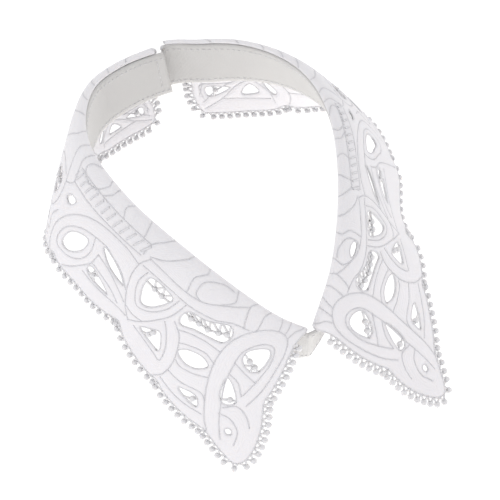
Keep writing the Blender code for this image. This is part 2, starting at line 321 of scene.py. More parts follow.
# %% The cords between tapes, and the lace's free border
CORDS = (
    # the loop at the front, round to the point
    (
        (6.3, 69), (5.6, 58), (5.9, 45), (6.6, 33), (8.4, 24.5), (11.6, 20.5), (14.6, 23), (17, 31),
        (18.1, 42), (17.5, 53), (15.8, 64), (13.2, 76), (10.4, 86.5), (8.4, 92),
    ),
    (
        (8.2, 66), (7.9, 55), (8.1, 44), (9.6, 35.2), (11.8, 33.2), (13.8, 36.5), (14.9, 44),
        (14, 54), (12.4, 65), (10.2, 75), (8, 84), (6, 90.5),
    ),
    ((7.9, 57), (10.8, 55.4), (14.4, 52)),
    ((8.3, 66.5), (10.6, 61.5), (13.4, 59)),
    ((3.2, 76), (5, 72.8), (7.6, 71.8), (9.4, 76.5)),
    ((3.8, 88), (4.6, 81.5), (7, 78.8), (9.2, 80)),
    # the bands between the loop and the diagonal one
    ((17.6, 51), (21, 51.8), (23.8, 54.6), (25.6, 58)),
    ((16.6, 58.8), (19.4, 57), (22.3, 60.5), (23.6, 63.5)),
    ((15.2, 67), (17.4, 70.5), (20, 73), (21.4, 72)),
    ((12.4, 79), (14.2, 76.8), (17.6, 79.4), (20.6, 80)),
    ((11, 86.4), (15, 88.2), (20.3, 87)),
    ((27.4, 56), (24.9, 60), (22.9, 66.5), (21.2, 75), (20.5, 84), (21.2, 90)),
    ((28.4, 60.5), (26.2, 65.8), (24, 73), (22.9, 80.5), (24.6, 80.4), (31.2, 79.4)),
    # the long drop
    ((28.6, 42.8), (28.5, 54), (29.5, 64), (31.2, 74), (33, 80)),
    ((30, 43.2), (30.1, 54), (31.6, 63.2), (34.2, 67), (36.6, 61), (38.1, 52), (38, 42.5)),
    ((39.2, 33), (40.3, 42), (40, 53), (38.4, 64), (36, 73), (33, 80)),
    ((31, 72.5), (33.2, 74.2), (36, 72.8)),
    # the band over the chain
    ((20.8, 12), (22.6, 20), (24.8, 27.5), (27, 33.2), (30.5, 35.6), (35, 34.6), (39.2, 33)),
    ((17.4, 29.5), (20.6, 32), (23.2, 37.6), (27.6, 41.4), (33, 41.4), (39.6, 40.6)),
    # round the slits
    ((38.8, 63.6), (42.6, 54.6), (47.8, 48.4)),
    ((36.9, 72), (41, 66), (45, 60.5), (48.8, 57.5)),
    ((37.8, 76.6), (43, 70), (48.5, 66.2), (49.8, 66.7)),
    ((34, 79), (42, 78.6), (51.6, 77.6)),
    # the loop with the eye
    (
        (40.4, 42), (44.5, 38.3), (49.5, 38.6), (54, 43.5), (57.6, 51.5), (60.6, 62), (62.3, 73),
        (62.6, 84), (62, 89),
    ),
    (
        (47.8, 48.4), (51, 50), (54.8, 54), (58.4, 62.5), (60.3, 74), (59.6, 80), (55.8, 78),
        (52.6, 70.5), (51, 61), (51, 50),
    ),
    ((48.8, 57.5), (49.8, 66.7), (51.9, 74), (54.8, 83), (57.3, 89.5)),
    ((41.2, 35.6), (48, 35.4), (54, 36.5), (61.2, 36)),
    ((41, 23), (47, 22.4), (54, 22.6), (61, 23)),
    # the roll over the neckline
    ((3.5, 3), (5.2, 10), (7.4, 17), (8.4, 24.5)),
    ((9.4, 2), (9.8, 10), (9.8, 22)),
    ((12.9, 2), (12.6, 10), (12, 20.5)),
    ((16.6, 2), (17.2, 12), (16.2, 27)),
    ((20.2, 2), (20.8, 12), (19.6, 24), (18.4, 30.4)),
    ((24.6, 2), (24.1, 9), (23.4, 18), (24.8, 27.5)),
    ((24.9, 8), (27.2, 8.4), (29.6, 19), (29.2, 31), (27.6, 34)),
    ((30.8, 2), (30.4, 11), (31.4, 22), (30.4, 35.4)),
    ((34.3, 2), (34.9, 13), (37, 26), (39.6, 32)),
    ((38.6, 2), (39.4, 12), (40.9, 24), (40.9, 34)),
    ((43.6, 2), (43, 13), (42.6, 22.4)),
    ((47.6, 2), (48.4, 12), (47.6, 22.4)),
    ((51.8, 2), (52, 14), (53.6, 22.6)),
    ((54.2, 2), (53.8, 12), (55.6, 23.4), (58.6, 25), (60.2, 18), (59.4, 9), (57.6, 2)),
    ((61.2, 2), (62, 18), (61.2, 36), (63.6, 44)),
    # the far side, in the same manner
    (
        (64, 2), (65, 16), (64.4, 30), (63.6, 44), (63.8, 56), (65.4, 66), (67.4, 69), (69.6, 66),
        (71.2, 57), (71.2, 46), (69.4, 39), (66.8, 37.8), (64.4, 41),
    ),
    ((62.6, 62), (64.4, 71), (64.2, 80), (66, 82), (69.8, 81.6), (71.6, 76), (70.4, 66)),
    (
        (68, 2), (68.4, 14), (70.4, 26), (72.6, 38), (72.8, 50), (74.2, 62), (76.4, 68.4), (78.6, 64),
        (80.2, 54), (79.8, 44), (77.8, 38.4), (75, 37), (72.6, 38),
    ),
    ((71.6, 76), (74.2, 72), (77, 74), (79.4, 78), (83, 77), (85, 70)),
    (
        (72.4, 2), (74.2, 14), (76.6, 26), (81, 36), (84.4, 46), (85.8, 58), (85.2, 70), (83.4, 82),
        (84.2, 89),
    ),
    ((76.8, 2), (78.4, 12), (81.6, 22), (85.6, 31), (88.4, 42)),
    ((64.4, 85.6), (72, 85.8), (79, 85), (83.4, 82)),
    (
        (81.4, 2), (82.8, 12), (86.4, 22), (90.4, 30), (94.6, 40), (95.6, 52), (94, 62), (91, 66.4),
        (88, 62), (87.2, 52), (88.4, 42), (91, 39.6), (94.6, 40),
    ),
    ((85.2, 70), (88.2, 70), (91.4, 75), (94.6, 82.6), (98.2, 88.5)),
    ((86.4, 66), (90, 69), (94, 75.4), (98, 84.5)),
    ((88.6, 68), (87.8, 74), (86.4, 81), (86.2, 87)),
    ((86.6, 84.2), (90.6, 83.4), (94.6, 82.6)),
    ((92, 72.4), (95, 71.8), (97.2, 72.4), (97.6, 82)),
    ((96.6, 62), (96.8, 72), (98, 80)),
    ((86.6, 2), (88, 12), (91.6, 20), (96.8, 26)),
    ((91.6, 2), (92.8, 10), (96.8, 15)),
)
BORDER = (
    (2.2, 4), (2.8, 10), (4.2, 18), (5, 26), (4.6, 36), (3.9, 46), (3.6, 56), (3.7, 61.5), (2.6, 66),
    (1.3, 71.5), (0.6, 78), (0.5, 85), (1, 91), (2.4, 95.4), (5.6, 94.6), (9, 92.4), (12.5, 93.6),
    (17.5, 92.4), (20, 90.5), (22.5, 92.4), (26, 93.4), (30, 92.8), (32.4, 89.4), (34, 87),
    (35.8, 88.6), (38.5, 91.2), (45, 91.8), (52, 91.8), (58, 91.6), (60.4, 89), (62.4, 91),
    (67, 92.2), (72, 91.6), (74.6, 89.2), (77.2, 91.6), (82.6, 92.2), (84.8, 89.2), (87, 91.4),
    (92, 91.8), (97, 92), (98.8, 90), (98.9, 80), (98.2, 70), (98.6, 58), (98.1, 46), (98.6, 34),
    (98.2, 22), (98.8, 12), (98.7, 4),
)
LADDER_RUNGS, LADDER_START, LADDER_STEP, LADDER_LEAN = 12, 40.6, 1.75, 1.0
LADDER_DROPS, SHADE_GAP_DROPS = (24.5, 33.6), (24.0, 33.0)


def ladder(start, top, foot):
    """Short lines from top to foot, a step apart, each leaning a little."""
    shares = start + LADDER_STEP * np.arange(LADDER_RUNGS)
    return tuple(((share, top), (share + LADDER_LEAN, foot)) for share in shares)


LADDER = ladder(LADDER_START, *LADDER_DROPS)
# short dark cords half a step on, laid between the rungs as painted shade in the gaps
LADDER_SHADE_GAPS = ladder(LADDER_START + LADDER_STEP / 2, *SHADE_GAP_DROPS)
print(len(CORDS), "cords,", len(LADDER), "rungs,", len(BORDER), "points on the border")


# %% [markdown]
# The same pattern lies on both leaves, but the leaves aren't cut alike: on the
# wearer's left its motifs sit nearer to the point and to the fold. A smooth stretch
# of share and drop makes the left leaf from the right one.

# %% Lay the pattern on a leaf, and read it on round curves
LEFT_FRONT_SCALE, LEFT_SCALE_GROWTH = 0.64, 0.36    # of share, at the front and per share
LEFT_LIFT_ALL = 0.03
LEFT_LIFT, LEFT_LIFT_SHARE, LEFT_LIFT_WIDTH = 0.20, 0.60, 0.30
LEFT_EDGE_FROM, LEFT_EDGE_TO = 0.72, 0.93           # where the lift dies out, down the leaf
LEAF_LENGTH, DEPTH_FRONT, DEPTH_LESS_AT_BACK = 206.0, 72.0, 19.0


def on_leaf(side, place):
    """Share times (0.64 + 0.36 share) on the left, and drop less a smooth hump of it."""
    if side == "right":
        return place
    share, drop = place[..., 0], place[..., 1]
    hump = np.exp(-((share - LEFT_LIFT_SHARE) / LEFT_LIFT_WIDTH) ** 2)
    inside = 1 - ramp((drop - LEFT_EDGE_FROM) / (LEFT_EDGE_TO - LEFT_EDGE_FROM))
    lift = (LEFT_LIFT_ALL + LEFT_LIFT * hump) * inside
    return np.stack([share * (LEFT_FRONT_SCALE + LEFT_SCALE_GROWTH * share), drop * (1 - lift)], -1)


def flat(place):
    """Millimetres on the leaf laid flat: share times its length, drop times its depth."""
    depth = DEPTH_FRONT - DEPTH_LESS_AT_BACK * place[..., 0]
    return np.stack([place[..., 0] * LEAF_LENGTH, place[..., 1] * depth], -1)


STRETCH_STEPS, LEAST_CLOSED, LEAST_OPEN = 12, 6, 2


def round_curve(points, closed, spacing):
    """A Catmull-Rom curve through the points, cut into even steps of the spacing:
    each stretch is half of 2b + (c-a)t + (2a-5b+4c-d)t^2 + (3b-a-3c+d)t^3."""
    points = np.array(points, float) / 100
    if closed:
        ring = np.concatenate([points[-1:], points, points[:2]])
    else:
        before, after = 2 * points[:1] - points[1:2], 2 * points[-1:] - points[-2:-1]
        ring = np.concatenate([before, points, after])
    a, b, c, d = (ring[k:len(ring) - 3 + k, None] for k in range(4))
    t = np.linspace(0, 1, STRETCH_STEPS + 1)[None, :-1, None]
    bend, twist = 2 * a - 5 * b + 4 * c - d, 3 * b - a - 3 * c + d
    fine = (2 * b + (c - a) * t + bend * t**2 + twist * t**3) / 2
    fine = np.concatenate([fine.reshape(-1, 2), points[:1] if closed else points[-1:]])
    run = np.concatenate([[0], np.cumsum(np.linalg.norm(np.diff(flat(fine), axis=0), axis=1))])
    count = max(int(run[-1] / spacing), LEAST_CLOSED if closed else LEAST_OPEN)
    at = np.linspace(0, run[-1], count + 1)
    even = np.stack([np.interp(at, run, fine[:, k]) for k in range(2)], -1)
    return even[:-1] if closed else even


print("front loop:", len(round_curve(HOLES["front_loop"], True, 1.0)), "steps of a millimetre")


# %% [markdown]
# To cut the holes, every point of a fine grid gets its signed distance to the nearest
# outline, positive on cloth. Each triangle that an outline crosses is then cut along
# it, which leaves clean round edges whatever the grid. The cloth gets its wall by
# moving that cut sheet both ways along its normals and closing the rims.

# %% Distances on the flat leaf
def outline_distance(spots, outline):
    """Distance from each spot to a closed outline, less than 0 outside it. A spot is
    inside if a level line from it crosses the outline an odd number of times."""
    start, end = outline, np.roll(outline, -1, axis=0)
    along = end - start
    away = spots[:, None] - start[None]
    t = np.clip((away * along).sum(-1) / (along * along).sum(-1), 0, 1)
    near = np.linalg.norm(away - t[..., None] * along, axis=-1).min(1)
    straddles = (start[:, 1] > spots[:, None, 1]) != (end[:, 1] > spots[:, None, 1])
    climb = np.where(along[:, 1] == 0, 1e-9, along[:, 1])
    crossing = start[:, 0] + along[:, 0] * (spots[:, None, 1] - start[:, 1]) / climb
    inside = (straddles & (spots[:, None, 0] < crossing)).sum(1) % 2 == 1
    return np.where(inside, near, -near)


def nearest_cord(spots, cords, rows=1500):
    """For each spot, how far the nearest cord is and how far along it, in millimetres."""
    steps = np.concatenate(cords)
    run = np.concatenate([
        np.concatenate([[0], np.cumsum(np.linalg.norm(np.diff(c, axis=0), axis=1))]) for c in cords
    ])
    away, along = np.empty(len(spots)), np.empty(len(spots))
    for first in range(0, len(spots), rows):
        block = spots[first:first + rows]
        gap = ((block[:, None] - steps[None]) ** 2).sum(-1)
        which = gap.argmin(1)
        away[first:first + rows] = np.sqrt(gap[np.arange(len(block)), which])
        along[first:first + rows] = run[which]
    return away, along


# %% Cut a sheet of triangles along the line where a value is 0
CUT_NEAREST = 0.02      # of an edge: no cut comes closer to a corner than this


def cut_sheet(place, value, triangles):
    """Whole triangles where the value is positive, and the positive part of those that
    straddle 0, cut in proportion to the values at their corners."""
    keep = value > 0
    kept = keep[triangles].sum(1)

    def odd_first(some, kind):
        first = np.argmax(keep[some] == kind, axis=1)
        return some[np.arange(len(some))[:, None], (first[:, None] + np.arange(3)) % 3]

    one, two = odd_first(triangles[kept == 1], True), odd_first(triangles[kept == 2], False)
    edges = np.concatenate([one[:, [0, 1]], one[:, [0, 2]], two[:, [1, 0]], two[:, [2, 0]]])
    total = len(place)
    label = edges.min(1) * total + edges.max(1)
    _, first, which = np.unique(label, return_index=True, return_inverse=True)
    cut = edges[first]
    t = value[cut[:, 0]] / (value[cut[:, 0]] - value[cut[:, 1]])
    t = np.clip(t, CUT_NEAREST, 1 - CUT_NEAREST)[:, None]
    added = place[cut[:, 0]] * (1 - t) + place[cut[:, 1]] * t
    which = which.ravel() + total
    n, m = len(one), len(two)
    ab, ac, ba, ca = which[:n], which[n:2 * n], which[2 * n:2 * n + m], which[2 * n + m:]
    triangles = np.concatenate([
        triangles[kept == 3],
        np.stack([one[:, 0], ab, ac], 1),
        np.stack([ba, two[:, 1], two[:, 2]], 1),
        np.stack([ba, two[:, 2], ca], 1),
    ])
    used, triangles = np.unique(triangles, return_inverse=True)
    return np.concatenate([place, added])[used], triangles.reshape(-1, 3)


def close_wall(top, bottom, triangles):
    """Both faces of a wall, and a strip round every rim: a rim is an edge that only
    one triangle has."""
    total = len(top)
    edges = triangles[:, [0, 1, 1, 2, 2, 0]].reshape(-1, 2)
    forward, backward = edges[:, 0] * total + edges[:, 1], edges[:, 1] * total + edges[:, 0]
    rim = edges[~np.isin(forward, backward)]
    strip = np.stack([rim[:, 1], rim[:, 0], rim[:, 0] + total, rim[:, 1] + total], 1)
    return np.concatenate([top, bottom]), [triangles, triangles[:, ::-1] + total, strip]


print("tools for cut sheets are ready")


# %% [markdown]
# A cord, a thread or a seam is a profile carried along a path. At each step of the
# path an oval ring stands square to it, and its height is along the cloth's normal,
# so the cord lies in the lace and shows on both of its faces.

# %% Cords, knots and the mesh that holds them
def tube(path, normal, half_width, half_height, sides, closed):
    """Rings of path + width cos(a) across + height sin(a) normal, joined into a tube."""
    if closed:
        along = np.roll(path, -1, axis=0) - np.roll(path, 1, axis=0)
    else:
        along = np.gradient(path, axis=0)
    across = unit(np.cross(normal, along))
    lift = unit(np.cross(along, across))
    angle = np.linspace(0, 2 * np.pi, sides, endpoint=False)[None, :, None]
    rings = (
        path[:, None]
        + across[:, None] * np.cos(angle) * half_width
        + lift[:, None] * np.sin(angle) * half_height
    )
    count = len(path)
    i, j = np.meshgrid(np.arange(count if closed else count - 1), np.arange(sides), indexing="ij")
    after, beside = (i + 1) % count, (j + 1) % sides
    corners = (i * sides + j, i * sides + beside, after * sides + beside, after * sides + j)
    faces = [np.stack(corners, -1).reshape(-1, 4)[:, ::-1]]
    if not closed:
        faces.append(np.arange(sides)[None])
        faces.append((np.arange(sides) + (count - 1) * sides)[None, ::-1])
    step = np.linalg.norm(np.diff(path, axis=0), axis=1)
    run = np.concatenate([[0], np.cumsum(step)])
    uv = np.stack([np.repeat(run, sides), np.tile(np.arange(sides) / sides, count)], -1)
    return rings.reshape(-1, 3), faces, uv


KNOT_SIDES, KNOT_RINGS = 7, 4


def knots(centres, frames, sizes):
    """Small balls: rings of sin(b)cos(a), sin(b)sin(a), cos(b), sized and turned for
    each centre by its own frame of three directions."""
    b = np.linspace(0, np.pi, KNOT_RINGS + 1)[1:-1]
    a = np.linspace(0, 2 * np.pi, KNOT_SIDES, endpoint=False)
    level = np.outer(np.cos(b), np.ones(KNOT_SIDES))
    ball = np.stack([np.outer(np.sin(b), np.cos(a)), np.outer(np.sin(b), np.sin(a)), level], -1)
    ball = ball.reshape(-1, 3)
    ball = np.concatenate([ball, [[0, 0, 1], [0, 0, -1]]])
    top, bottom = len(ball) - 2, len(ball) - 1
    points = centres[:, None] + np.einsum("vk,nkx->nvx", ball * sizes, frames)
    i, j = np.meshgrid(np.arange(KNOT_RINGS - 2), np.arange(KNOT_SIDES), indexing="ij")
    here, below, beside = i * KNOT_SIDES, (i + 1) * KNOT_SIDES, (j + 1) % KNOT_SIDES
    quads = np.stack([here + j, below + j, below + beside, here + beside], -1).reshape(-1, 4)
    ring, after = np.arange(KNOT_SIDES), (np.arange(KNOT_SIDES) + 1) % KNOT_SIDES
    last = (KNOT_RINGS - 2) * KNOT_SIDES
    caps = np.concatenate([
        np.stack([np.full(KNOT_SIDES, top), ring, after], 1),
        np.stack([np.full(KNOT_SIDES, bottom), last + after, last + ring], 1),
    ])
    shift = (np.arange(len(centres)) * len(ball))[:, None, None]
    faces = [(quads[None] + shift).reshape(-1, 4), (caps[None] + shift).reshape(-1, 3)]
    return points.reshape(-1, 3), faces, np.tile(ball[:, :2], (len(centres), 1))


def join(shapes):
    """Many shapes as one: points one after another, with the faces' numbers moved."""
    points, faces, uv, total = [], [], [], 0
    for shape in shapes:
        points.append(shape[0])
        faces += [group + total for group in shape[1]]
        uv.append(shape[2])
        total += len(shape[0])
    return np.concatenate(points), faces, np.concatenate(uv)


def new_piece(name, shape, finish):
    """A mesh object from points in millimetres, closed and facing out, with the thread
    directions as its UVs."""
    points, faces, uv = shape
    mesh = bpy.data.meshes.new(name)
    listed = [face for group in faces for face in group.tolist()]
    mesh.from_pydata(((points - NECK_MIDDLE) * MM).tolist(), [], listed)
    turned = bmesh.new()
    turned.from_mesh(mesh)
    bmesh.ops.recalc_face_normals(turned, faces=turned.faces)
    turned.to_mesh(mesh)
    turned.free()
    layer = mesh.uv_layers.new(name="thread")
    corner = np.empty(len(mesh.loops), dtype=np.int32)
    mesh.loops.foreach_get("vertex_index", corner)
    layer.data.foreach_set("uv", uv[corner].astype(np.float32).ravel())
    mesh.shade_smooth()
    mesh.materials.append(finish)
    piece = bpy.data.objects.new(name, mesh)
    bpy.context.scene.collection.objects.link(piece)
    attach(piece, "root")
    print(name, len(mesh.polygons), "faces")
    return piece


# %% [markdown]
# All the cloth is white cotton, so the threads have to carry the looks. One node
# group draws threads that lie side by side, as they do in cord: a sine across them,
# broken up by noise, with painted shade in the valleys between them. One draws the
# same on the lace's tape, and darkens it next to a cord with painted shade for the
# groove. The last draws a plain weave from two such sines. Each gives a height for a
# Bump node and a tone that shades the colour a little.

# %% Node groups for threads
def new_group(name, inputs, outputs):
    group = bpy.data.node_groups.new(name, "ShaderNodeTree")
    for label, kind, value in inputs:
        socket = group.interface.new_socket(label, in_out="INPUT", socket_type=kind)
        if value is not None:
            socket.default_value = value
    for label in outputs:
        group.interface.new_socket(label, in_out="OUTPUT", socket_type="NodeSocketFloat")
    return group, group.nodes.new("NodeGroupInput"), group.nodes.new("NodeGroupOutput")


def math_node(tree, kind, *values):
    node = tree.nodes.new("ShaderNodeMath")
    node.operation = kind
    for slot, value in enumerate(values):
        if isinstance(value, bpy.types.NodeSocket):
            tree.links.new(value, node.inputs[slot])
        else:
            node.inputs[slot].default_value = value
    return node.outputs[0]


def noise_node(tree, place, scale, detail):
    node = tree.nodes.new("ShaderNodeTexNoise")
    node.inputs["Scale"].default_value = scale
    node.inputs["Detail"].default_value = detail
    tree.links.new(place, node.inputs["Vector"])
    return node.outputs["Fac"]


def side_by_side(tree, run, pitch):
    """0.5 + 0.5 sin(2 pi run / pitch): one hump for each thread."""
    turn = math_node(tree, "MULTIPLY", math_node(tree, "DIVIDE", run, pitch), 2 * np.pi)
    return math_node(tree, "MULTIPLY_ADD", math_node(tree, "SINE", turn), 0.5, 0.5)


SATIN_NOISE, FUZZ_NOISE = 900.0, 2600.0     # per metre, in Object coordinates
WEAVE_NOISE, CLOUD_NOISE = 1500.0, 60.0
FINE_DETAIL, BROAD_DETAIL = 2.0, 3.0
# painted shade in the groove along a cord: the lace's colour darkens between these distances
SHADE_GROOVE_FROM, SHADE_GROOVE_TO = -0.9, 0.9          # millimetres from a cord
RIDGE_PART, RIDGE_SHADE_TONE, CLOUD_TONE, CLOUD_PART = 0.4, 0.5, 0.5, 0.3


def stitched_threads():
    """Height and tone of threads a pitch apart, uneven where the noise is. The tone has painted
    shade in the valleys between threads, and random cloud.
    """
    group, given, made = new_group(
        "stitched_threads",
        (
            ("Place", "NodeSocketVector", None), ("Run", "NodeSocketFloat", 0.0),
            ("Pitch", "NodeSocketFloat", 0.7),
        ),
        ("Height", "Tone"),
    )
    wobble = noise_node(group, given.outputs["Place"], SATIN_NOISE, FINE_DETAIL)
    fuzz = noise_node(group, given.outputs["Place"], FUZZ_NOISE, FINE_DETAIL)
    run = math_node(group, "ADD", given.outputs["Run"], wobble)
    ridge = side_by_side(group, run, given.outputs["Pitch"])
    cloud = noise_node(group, given.outputs["Place"], CLOUD_NOISE, BROAD_DETAIL)
    # painted shade: the tone follows the threads' humps, so the valleys between them are darker
    ridge_shade = math_node(group, "MULTIPLY", ridge, RIDGE_SHADE_TONE)
    of_cloud = math_node(group, "MULTIPLY", cloud, CLOUD_TONE)
    group.links.new(math_node(group, "ADD", ridge, fuzz), made.inputs["Height"])
    group.links.new(math_node(group, "ADD", ridge_shade, of_cloud), made.inputs["Tone"])
    return group


def taped_lace():
    """Height and tone of the lace: painted shade along a cord, where the way across is near 0,
    and lighter on the tape between, with threads side by side along it."""
    group, given, made = new_group(
        "taped_lace",
        (
            ("Place", "NodeSocketVector", None), ("Across", "NodeSocketFloat", 0.0),
            ("Pitch", "NodeSocketFloat", 0.9),
        ),
        ("Height", "Tone"),
    )
    ridge = side_by_side(group, given.outputs["Across"], given.outputs["Pitch"])
    satin = noise_node(group, given.outputs["Place"], SATIN_NOISE, BROAD_DETAIL)
    cloud = noise_node(group, given.outputs["Place"], CLOUD_NOISE, BROAD_DETAIL)
    # painted shade: the tone is darkest next to a cord, where the groove lies in shade
    groove_shade = group.nodes.new("ShaderNodeMapRange")
    groove_shade.interpolation_type = "SMOOTHSTEP"
    groove_shade.inputs["From Min"].default_value = SHADE_GROOVE_FROM
    groove_shade.inputs["From Max"].default_value = SHADE_GROOVE_TO
    group.links.new(given.outputs["Across"], groove_shade.inputs["Value"])
    height = math_node(group, "ADD", math_node(group, "MULTIPLY", ridge, RIDGE_PART), satin)
    patch = math_node(group, "ADD", math_node(group, "MULTIPLY", cloud, CLOUD_PART), 1 - CLOUD_PART)
    tone = math_node(group, "MULTIPLY", groove_shade.outputs["Result"], patch)
    group.links.new(height, made.inputs["Height"])
    group.links.new(tone, made.inputs["Tone"])
    return group


def plain_weave():
    """Height and tone of two sets of threads that cross: the product of their humps."""
    group, given, made = new_group(
        "plain_weave",
        (
            ("Place", "NodeSocketVector", None), ("Run", "NodeSocketFloat", 0.0),
            ("Across", "NodeSocketFloat", 0.0), ("Pitch", "NodeSocketFloat", 0.5),
        ),
        ("Height", "Tone"),
    )
    warp = side_by_side(group, given.outputs["Run"], given.outputs["Pitch"])
    weft = side_by_side(group, given.outputs["Across"], given.outputs["Pitch"])
    slub = noise_node(group, given.outputs["Place"], WEAVE_NOISE, FINE_DETAIL)
    height = math_node(group, "ADD", math_node(group, "MULTIPLY", warp, weft), slub)
    cloud = noise_node(group, given.outputs["Place"], CLOUD_NOISE, BROAD_DETAIL)
    group.links.new(height, made.inputs["Height"])
    group.links.new(cloud, made.inputs["Tone"])
    return group


STITCHED, TAPED, WOVEN = stitched_threads(), taped_lace(), plain_weave()
print("groups:", STITCHED.name, TAPED.name, WOVEN.name)


# %% Finishes of the lace, the cords and the cotton
SEEN_THROUGH_DEPTH = 0.0015     # how far light gets into the thread, in metres
SEEN_THROUGH_COLOUR = (1.0, 0.95, 0.9)
SHEEN_ROUGHNESS = 0.5


def cloth_finish(name, light, shade, roughness, group, pitch, depth, sheen, seen_through):
    """A Principled shader: colour between shade and light by the group's tone, bump by
    its height with threads a pitch apart and a depth high, in millimetres, a soft
    sheen, and light that passes into the thread."""
    made = bpy.data.materials.new(name)
    made.use_nodes = True
    tree = made.node_tree
    shader = tree.nodes["Principled BSDF"]
    shader.inputs["Roughness"].default_value = roughness
    shader.inputs["Sheen Weight"].default_value = sheen
    shader.inputs["Sheen Roughness"].default_value = SHEEN_ROUGHNESS
    shader.inputs["Subsurface Weight"].default_value = seen_through
    shader.inputs["Subsurface Radius"].default_value = SEEN_THROUGH_COLOUR
    shader.inputs["Subsurface Scale"].default_value = SEEN_THROUGH_DEPTH
    place = tree.nodes.new("ShaderNodeTexCoord")
    thread = tree.nodes.new("ShaderNodeUVMap")
    thread.uv_map = "thread"
    parts = tree.nodes.new("ShaderNodeSeparateXYZ")
    tree.links.new(thread.outputs["UV"], parts.inputs[0])
    threads = tree.nodes.new("ShaderNodeGroup")
    threads.node_tree = group
    threads.inputs["Pitch"].default_value = pitch
    tree.links.new(place.outputs["Object"], threads.inputs["Place"])
    for label, axis in (("Run", "X"), ("Across", "Y")):
        if label in threads.inputs:
            tree.links.new(parts.outputs[axis], threads.inputs[label])
    mix = tree.nodes.new("ShaderNodeMix")
    mix.data_type = "RGBA"
    mix.inputs["A"].default_value = (*shade, 1.0)
    mix.inputs["B"].default_value = (*light, 1.0)
    tree.links.new(threads.outputs["Tone"], mix.inputs["Factor"])
    tree.links.new(mix.outputs["Result"], shader.inputs["Base Color"])
    bump = tree.nodes.new("ShaderNodeBump")
    bump.inputs["Strength"].default_value = 1.0
    bump.inputs["Distance"].default_value = depth * MM
    tree.links.new(threads.outputs["Height"], bump.inputs["Height"])
    tree.links.new(bump.outputs["Normal"], shader.inputs["Normal"])
    return made


LACE = cloth_finish(
    "guipure_lace", light=(0.785, 0.772, 0.795), shade=(0.665, 0.652, 0.685), roughness=0.75,
    group=TAPED, pitch=0.9, depth=0.08, sheen=0.1, seen_through=0.5,
)
CORD = cloth_finish(
    "lace_cord", light=(0.78, 0.77, 0.79), shade=(0.67, 0.66, 0.69), roughness=0.7,
    group=STITCHED, pitch=0.55, depth=0.08, sheen=0.1, seen_through=0.3,
)
# painted shade: the cords between tapes and in the ladder's gaps are real cords, coloured darker than
# the others for the shade in the grooves beside them
SEAM_CORD_SHADED = cloth_finish(
    "seam_cord_shaded", light=(0.71, 0.70, 0.73), shade=(0.61, 0.60, 0.63), roughness=0.8,
    group=STITCHED, pitch=0.55, depth=0.08, sheen=0.1, seen_through=0.1,
)
PICOT = cloth_finish(
    "picot_thread", light=(0.77, 0.76, 0.775), shade=(0.69, 0.68, 0.70), roughness=0.8,
    group=STITCHED, pitch=0.5, depth=0.05, sheen=0.1, seen_through=0.5,
)
# painted shade: the band is white cotton like the lace; its colour is darkened to stand in for the
# shade inside the collar
COTTON_SHADED = cloth_finish(
    "cotton_band", light=(0.61, 0.60, 0.595), shade=(0.56, 0.55, 0.545), roughness=0.85,
    group=WOVEN, pitch=0.5, depth=0.07, sheen=0.1, seen_through=0.3,
)
TAPE = cloth_finish(
    "fastening_tape", light=(0.76, 0.755, 0.76), shade=(0.68, 0.675, 0.68), roughness=0.9,
    group=WOVEN, pitch=0.8, depth=0.15, sheen=0.1, seen_through=0.2,
)

# %% [markdown]
# Now the lace itself. The sheet is a grid of about two thirds of a millimetre, cut
# along the outlines. Between the cords the tape is padded: its faces stand off by a
# height that grows with the distance to the nearest cord and soon levels out.

# %% The lace of a leaf
GRID_ALONG, GRID_DOWN = 310, 108
SHEET_SHARES, SHEET_DROPS = (-0.004, 0.995), (0.0, 0.96)
LACE_HALF_WALL, PADDING, PADDING_REACH = 0.26, 0.24, 0.6
CORD_STEP, CORD_SIDES = 0.8, 6
LINE_CORD = (0.36, 0.50)        # half the width and height of the cords between tapes
EDGE_CORD = (0.36, 0.52)        # of those round holes and along the border
RUNG_CORD = (0.62, 0.95)        # of the satin rungs of the ladder
GAP_SHADE_CORD = (0.34, 0.52)         # of the dark cords laid between two rungs, painted shade in the gaps
FOLD_DROP = 0.004               # where the lace starts, at the fold


def pattern_curves(side):
    """The holes, cords and border of a leaf, in its own share and drop."""
    open_here = [points for name, points in HOLES.items() if ONLY_ON.get(name, side) == side]
    holes = [on_leaf(side, round_curve(points, True, CORD_STEP)) for points in open_here]
    cords = [on_leaf(side, round_curve(points, False, CORD_STEP)) for points in CORDS]
    return holes, cords, on_leaf(side, round_curve(BORDER, False, CORD_STEP))


